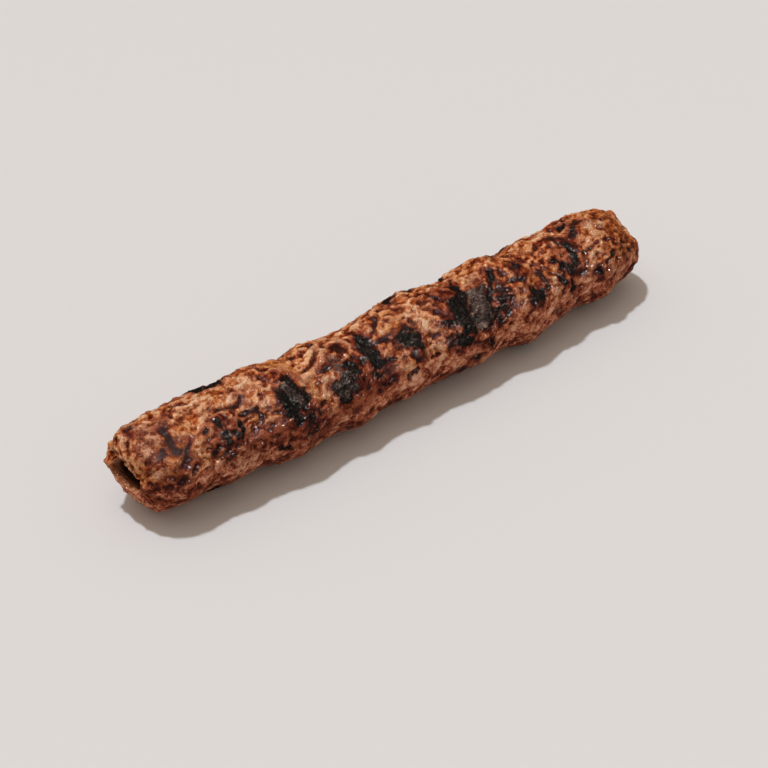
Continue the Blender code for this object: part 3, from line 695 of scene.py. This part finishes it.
def shape_mouth(surface, moved):
    """The torn mouth: its upper lip stands back, its lower lip reaches out, both ragged."""
    middle = slot_box()[2]
    near_end = smoothstep(9.0, 1.0, surface.points[:, 0] - cad_low.x * MM)
    above = np.exp(-((surface.points[:, 2] - middle[2] - 4.5) / 3.2) ** 2)
    below = smoothstep(middle[2] + 1.0, middle[2] - 8.0, surface.points[:, 2])
    across = np.exp(-((surface.points[:, 1] - middle[1]) / 8.0) ** 4)
    ragged = cloud(surface.points, 2.0, 17) + 0.5 * cloud(surface.points, 1.0, 18)
    moved[:, 0] += near_end * across * above * (2.8 + 1.1 * ragged)
    moved[:, 0] += near_end * below * (1.8 + 0.7 * ragged)
    droop = smoothstep(middle[1] + 2.0, middle[1] - 4.0, surface.points[:, 1])
    moved[:, 2] += near_end * across * above * (0.9 * cloud(surface.points, 2.2, 19) - 2.6 * droop)


def rest_on_floor(moved):
    """Nothing reaches through the plane that the meat lies on."""
    floor = cad_low.z * MM
    moved[:, 2] = np.maximum(moved[:, 2], floor + 0.02)


def write_mesh(item, moved, masks):
    """Put the moved points and the masks on the mesh."""
    mesh = item.data
    mesh.vertices.foreach_set("co", (moved / MM).astype(np.float32).ravel())
    for name, values in masks.items():
        layer = mesh.attributes.new(name, "FLOAT", "POINT")
        layer.data.foreach_set("value", values.astype(np.float32))
    mesh.shade_smooth()
    mesh.update()


class Nodes:
    """Short forms for building a material's node tree. Sizes are in millimetres."""

    def __init__(self, name):
        self.material = bpy.data.materials.new(name)
        self.material.use_nodes = True
        self.tree = self.material.node_tree
        self.shader = self.tree.nodes["Principled BSDF"]
        place = self.new("TexCoord")
        scale = self.new("VectorMath")
        scale.operation = "SCALE"
        scale.inputs["Scale"].default_value = MM
        self.link(place.outputs["Object"], scale.inputs[0])
        self.place = scale.outputs[0]

    def new(self, kind):
        return self.tree.nodes.new("ShaderNode" + kind)

    def link(self, source, target):
        self.tree.links.new(source, target)

    def put(self, value, socket):
        """Link an output or set a constant."""
        if isinstance(value, bpy.types.NodeSocket):
            self.link(value, socket)
        else:
            socket.default_value = value

    def mask(self, name):
        """A mask that write_mesh stored."""
        node = self.new("Attribute")
        node.attribute_name = name
        return node.outputs["Fac"]

    def noise(self, size, detail=3.0, rough=0.55, distort=0.0):
        """Noise whose lumps are about size millimetres wide."""
        node = self.new("TexNoise")
        node.inputs["Scale"].default_value = 1.0 / size
        node.inputs["Detail"].default_value = detail
        node.inputs["Roughness"].default_value = rough
        node.inputs["Distortion"].default_value = distort
        self.link(self.place, node.inputs["Vector"])
        return node.outputs["Fac"]

    def cell(self, size, place=None):
        """Distance to the nearest of many scattered points, size millimetres apart."""
        node = self.new("TexVoronoi")
        node.feature = "SMOOTH_F1"
        node.inputs["Smoothness"].default_value = 0.35
        node.inputs["Scale"].default_value = 1.0 / size
        self.link(place or self.place, node.inputs["Vector"])
        return node.outputs["Distance"]

    def bent_place(self, size, reach):
        """The place pushed about by noise, so that a pattern on it isn't regular."""
        node = self.new("TexNoise")
        node.inputs["Scale"].default_value = 1.0 / size
        self.link(self.place, node.inputs["Vector"])
        push = self.new("VectorMath")
        push.operation = "MULTIPLY_ADD"
        self.link(node.outputs["Color"], push.inputs[0])
        push.inputs[1].default_value = (reach, reach, reach)
        self.link(self.place, push.inputs[2])
        return push.outputs[0]

    def math(self, operation, a, b=0.0, clamp=False):
        node = self.new("Math")
        node.operation = operation
        node.use_clamp = clamp
        self.put(a, node.inputs[0])
        self.put(b, node.inputs[1])
        return node.outputs[0]

    def add(self, first, *others):
        """The sum of two or more values."""
        for other in others:
            first = self.math("ADD", first, other)
        return first

    def times(self, a, b):
        return self.math("MULTIPLY", a, b)

    def around(self, value, gain):
        """A noise value turned into plus or minus half the gain."""
        return self.times(self.math("SUBTRACT", value, 0.5), gain)

    def remap(self, value, low, high, to_low=0.0, to_high=1.0):
        node = self.new("MapRange")
        node.interpolation_type = "SMOOTHSTEP"
        self.put(value, node.inputs["Value"])
        for name, number in (("From Min", low), ("From Max", high), ("To Min", to_low), ("To Max", to_high)):
            node.inputs[name].default_value = number
        return node.outputs["Result"]

    def mix(self, share, a, b):
        node = self.new("Mix")
        node.data_type = "RGBA"
        self.put(share, node.inputs["Factor"])
        self.put(a, node.inputs["A"])
        self.put(b, node.inputs["B"])
        return node.outputs["Result"]

    def ramp(self, value, stops):
        node = self.new("ValToRGB")
        self.put(value, node.inputs["Fac"])
        ramp = node.color_ramp
        while len(ramp.elements) < len(stops):
            ramp.elements.new(0.5)
        for element, (place, colour) in zip(ramp.elements, stops):
            element.position = place
            element.color = (*colour, 1.0)
        return node.outputs["Color"]

    def bump(self, height, distance, normal=None):
        """Relief of distance millimetres, on top of another when a normal is given."""
        node = self.new("Bump")
        node.inputs["Strength"].default_value = 1.0
        node.inputs["Distance"].default_value = distance / MM
        self.put(height, node.inputs["Height"])
        if normal is not None:
            self.link(normal, node.inputs["Normal"])
        return node.outputs["Normal"]


def grain_height(n, coarse):
    """Grains of mince, plainer in some places than in others."""
    bent = n.bent_place(2.6, 5.0)
    grains = n.add(n.times(n.cell(1.4, bent), -0.6), n.times(n.cell(2.8, bent), -1.2))
    return n.times(n.add(grains, 0.8), n.remap(coarse, 0.4, 0.56, 0.25, 1.0))


def crust_tone(n, m):
    """0 in the crust's darkest hollows and 1 on its lightest grains. The relief and grain terms paint shade
    into the hollows and the creases between grains, and light onto their tops.
    """
    thread = n.math("ABSOLUTE", n.around(n.noise(1.7, 2.0, 0.6, 0.6), 1.0))
    veins = n.remap(thread, 0.0, 0.06, -0.08, 0.02)
    speckle = n.noise(0.42, 2.0, 0.6)
    return n.add(
        n.around(m["relief"], 1.1), n.around(m["medium"], 1.15), n.around(m["fine"], 0.9),
        n.around(speckle, 0.8), n.around(m["shade"], 1.0), n.times(m["grains"], 0.45),
        n.around(m["coarse"], 0.6), 0.6, veins,
    )


def crust_colour(n, m):
    """The browned crust by its tone, and by where it is clear, pale, low down, filmed or fatty. The pale
    marks and the fat specks are partly painted highlights and glints, and the low side, which lies in shade,
    gets a shaded copy of the crust's colours.
    """
    tone = m["tone"]
    colour = n.mix(n.times(m["amber"], 0.7), n.ramp(tone, CRUST), n.ramp(tone, CLEAR))
    # pale marks: bright meat and fat, partly painted highlights
    colour = n.mix(n.times(m["pale"], 0.75), colour, n.ramp(tone, BRIGHT_AND_GLINT))
    # the low side, in shade, takes a shaded copy of the crust's colours: painted shade
    colour = n.mix(n.times(m["low_side"], 0.85), colour, n.ramp(tone, SHADED_FLANK))
    colour = n.mix(n.times(m["purple"], 0.65), colour, n.ramp(tone, FILM))
    # fat specks on the lighter tones, partly painted glints
    fat = n.times(n.remap(n.noise(0.6, 2.0, 0.5), 0.6, 0.7), n.remap(tone, 0.42, 0.8, 0.0, 0.5))
    return n.mix(fat, colour, FAT_AND_GLINT)


def char_colour(n, m):
    """Black soot, with grey ash on it in places. The grit specks on the raised char are partly painted
    sparkle, and the shade mask paints light and shade on the soot and the ash.
    """
    speck = n.remap(n.noise(0.55, 2.0, 0.6), 0.52, 0.7)
    grit_and_sparkle = n.times(speck, n.remap(m["relief"], 0.35, 0.75))
    soot = n.ramp(n.add(grit_and_sparkle, n.around(m["shade"], 0.8)), SOOT)
    dust = n.add(n.times(n.noise(0.5, 2.0, 0.7), 0.7), n.times(m["relief"], 0.3))
    grey = n.ramp(n.add(dust, n.around(m["shade"], 0.35)), GREY)
    ashy = n.remap(n.add(m["ash"], n.around(m["medium"], 0.9)), 0.35, 0.85)
    return n.mix(ashy, soot, grey)


def set_wetness(n, m):
    """A film of fat and juice over the crust, thinner underneath and on the char."""
    juicy = n.times(n.add(m["scorched"], m["amber"]), 0.3)
    wet = n.add(n.remap(n.noise(3.0, 3.0), 0.4, 0.56, 0.2, 1.0), juicy)
    wet = n.math("MULTIPLY", wet, n.remap(m["low_side"], 0.0, 1.0, 1.0, 0.7), clamp=True)
    wet = n.times(wet, n.remap(m["black"], 0.2, 1.0, 1.0, 0.4))
    rough = n.math("SUBTRACT", 0.58, n.times(wet, 0.16))
    rough = n.math("ADD", rough, n.around(m["fine"], 0.3), clamp=True)
    n.link(rough, n.shader.inputs["Roughness"])
    n.link(wet, n.shader.inputs["Coat Weight"])
    n.shader.inputs["Coat Roughness"].default_value = 0.1
    n.shader.inputs["Specular IOR Level"].default_value = 0.1


def set_bumps(n, m):
    """Relief too fine for the mesh, and a softer one for the wet film."""
    normal = n.bump(n.noise(0.7, 3.0, 0.6), 0.7)
    normal = n.bump(m["grains"], 0.8, normal)
    normal = n.bump(n.times(n.cell(0.6), m["black"]), 0.3, normal)
    n.link(normal, n.shader.inputs["Normal"])
    shine = n.bump(n.noise(0.9, 1.0, 0.5), 0.34)
    n.link(n.bump(m["grains"], 0.5, shine), n.shader.inputs["Coat Normal"])


def meat_material():
    """Browned crust over minced meat, with scorched and charred patches, fat and moisture."""
    n = Nodes("grilled_meat")
    m = {name: n.mask(name) for name in MASKS}
    m["coarse"] = n.noise(5.0, 3.0)
    m["medium"] = n.noise(2.2, 4.0, 0.6, 0.4)
    m["fine"] = n.noise(0.7, 3.0, 0.6)
    m["grains"] = grain_height(n, m["coarse"])
    m["tone"] = crust_tone(n, m)
    m["scorched"] = n.remap(n.add(m["scorch"], n.around(m["medium"], 1.0)), 0.28, 0.8)
    ragged = n.add(n.around(m["fine"], 1.1), n.around(m["medium"], 0.7))
    m["black"] = n.remap(n.add(m["char"], ragged), 0.36, 0.66)

    colour = n.mix(m["scorched"], crust_colour(n, m), n.ramp(m["tone"], BURNT))
    # painted shade inside the pits and creases
    colour = n.mix(n.times(m["hollow_shade"], 0.75), colour, HOLLOW_SHADE)
    colour = n.mix(n.remap(m["channel"], 0.05, 0.5), colour, n.ramp(m["medium"], INNER))
    # painted shade deep in the skewer's channel
    colour = n.mix(n.remap(m["channel"], 0.5, 0.95), colour, CHANNEL_DEPTH_SHADE)
    colour = n.mix(m["black"], colour, char_colour(n, m))
    n.link(colour, n.shader.inputs["Base Color"])
    set_wetness(n, m)
    set_bumps(n, m)
    return n.material


def build_kofta():
    """The whole piece: the softened CAD shape with its crust and its material."""
    item = even_copy("kofta_meat")
    surface = Surface(item.data)
    height, masks = shape_crust(surface)
    moved = surface.points + surface.normals * height[:, None]
    shape_mouth(surface, moved)
    rest_on_floor(moved)
    write_mesh(item, moved, masks)
    item.data.materials.clear()
    item.data.materials.append(meat_material())
    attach(item, "root")
    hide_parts(NODE)
    return item


def build_floor():
    """A plain pale table top, kept out of the meat's reflections."""
    mesh = bpy.data.meshes.new("floor")
    build = bmesh.new()
    bmesh.ops.create_grid(build, x_segments=1, y_segments=1, size=FLOOR_SIZE)
    build.to_mesh(mesh)
    build.free()
    floor = new_object("floor", mesh)
    material = bpy.data.materials.new("floor")
    material.use_nodes = True
    shader = material.node_tree.nodes["Principled BSDF"]
    shader.inputs["Base Color"].default_value = FLOOR_COLOUR
    shader.inputs["Roughness"].default_value = 0.7
    shader.inputs["Specular IOR Level"].default_value = 0.2
    mesh.materials.append(material)
    floor.visible_glossy = False


def add_sun(name, energy, width, colour, towards):
    """A distant lamp that is width degrees wide."""
    lamp = bpy.data.lights.new(name, "SUN")
    lamp.energy = energy
    lamp.angle = math.radians(width)
    lamp.color = colour
    item = new_object(name, lamp)
    item.rotation_euler = Vector(towards).to_track_quat("Z", "Y").to_euler()
    return item


def add_light():
    """A key light from beyond the meat, a wide warm one above, panels seen in reflections, and the room."""
    key = add_sun("key", 2.1, 4.0, DAYLIGHT, TOWARDS_KEY)
    key.visible_glossy = False
    above = add_sun("above", 0.35, 70.0, LAMPLIGHT, TOWARDS_ABOVE)
    above.visible_glossy = False
    for side, towards in PANELS.items():
        panel = add_sun("panel_" + side, 1.0, 5.0, PANEL_COLOUR, towards)
        panel.visible_diffuse = False
    add_room()


def add_room():
    """An even warm room, much dimmer in reflections so that it leaves no haze on the char."""
    world = bpy.data.worlds.new("studio")
    world.use_nodes = True
    tree = world.node_tree
    background = tree.nodes["Background"]
    background.inputs["Color"].default_value = ROOM_COLOUR
    path = tree.nodes.new("ShaderNodeLightPath")
    strength = tree.nodes.new("ShaderNodeMapRange")
    strength.inputs["To Min"].default_value = ROOM_STRENGTH
    strength.inputs["To Max"].default_value = REFLECTED_ROOM_STRENGTH
    tree.links.new(path.outputs["Is Glossy Ray"], strength.inputs["Value"])
    tree.links.new(strength.outputs["Result"], background.inputs["Strength"])
    bpy.context.scene.world = world


def add_camera():
    """The viewer looks down on the meat from its open end's side."""
    azimuth, elevation = math.radians(CAMERA_AZIMUTH), math.radians(CAMERA_ELEVATION)
    level = math.cos(elevation)
    back = Vector((math.sin(azimuth) * level, -math.cos(azimuth) * level, math.sin(elevation)))
    data = bpy.data.cameras.new("camera")
    data.sensor_width = 36.0
    data.lens = CAMERA_LENS
    data.clip_start = 0.01
    camera = new_object("camera", data)
    camera.location = Vector((*LOOK_AT, cad_low.z)) + CAMERA_DISTANCE * back
    camera.rotation_euler = (-back).to_track_quat("-Z", "Y").to_euler()
    bpy.context.scene.camera = camera


bpy.context.scene.view_settings.view_transform = "Standard"
build_kofta()
build_floor()
add_light()
add_camera()
